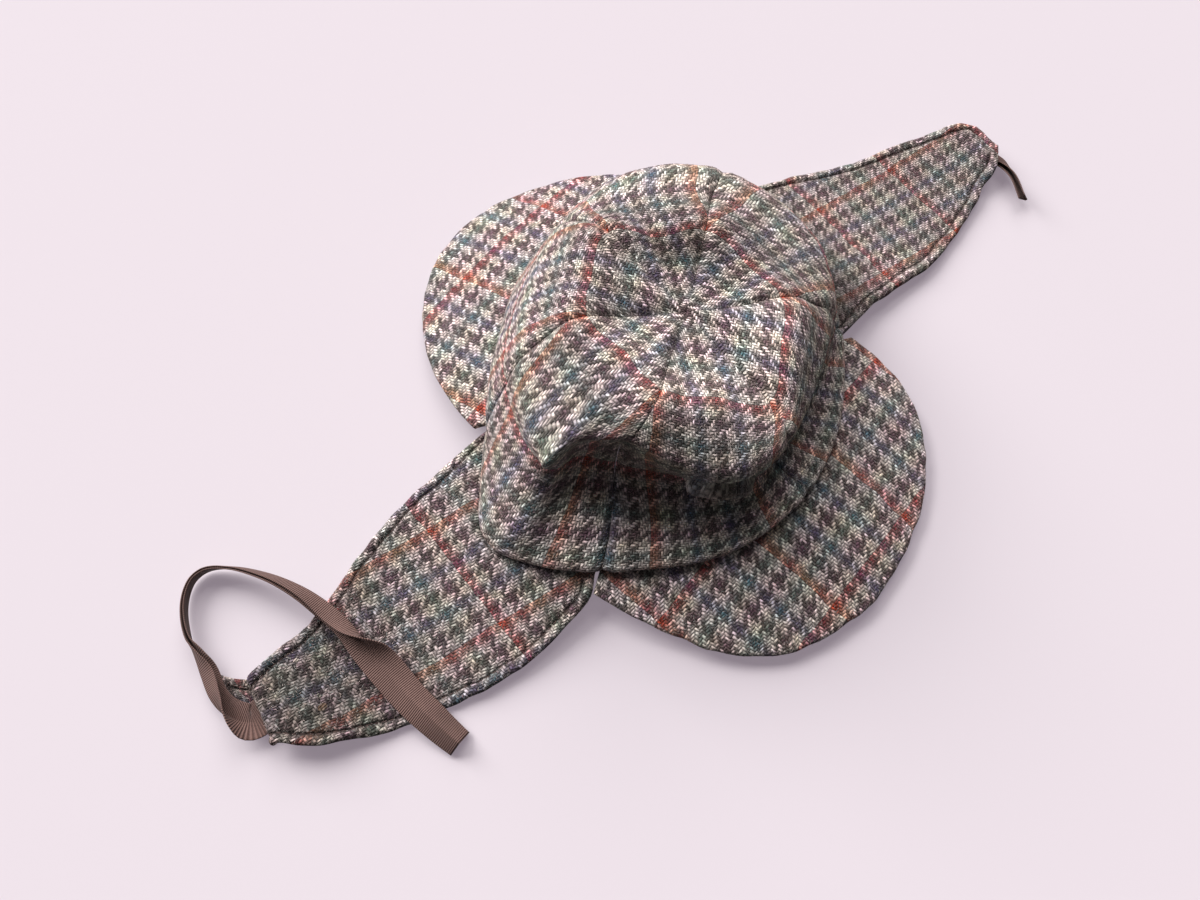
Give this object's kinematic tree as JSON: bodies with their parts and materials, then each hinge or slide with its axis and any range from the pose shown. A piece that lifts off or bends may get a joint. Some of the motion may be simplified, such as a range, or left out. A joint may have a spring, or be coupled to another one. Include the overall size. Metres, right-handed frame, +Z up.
{
  "type": "deerstalker hat",
  "caption": "Soft check tweed deerstalker hat lying open: gored crown with dents, front and back peaks, two ear flaps spread out, grosgrain ties.",
  "frame": {"origin": "middle of the head line, on the surface the hat lies on", "axes": "+Z up out of the crown, -Y towards the front peak, +X towards the wearer's left ear flap"},
  "size_m": [0.4665, 0.2731, 0.0808],
  "materials": {
    "tweed": "woolly check tweed, rough",
    "ribbon": "ribbed matt grosgrain"
  },
  "bodies": {
    "root": {"crown_panel_front_right": "tweed", "crown_panel_right": "tweed", "crown_panel_back_right": "tweed", "crown_panel_back_left": "tweed", "crown_panel_left": "tweed", "crown_panel_front_left": "tweed", "peak_front": "tweed", "peak_back": "tweed", "ear_flap_right": "tweed", "ear_flap_left": "tweed", "ribbon_right": "ribbon", "ribbon_left": "ribbon"}
  },
  "joints": []
}
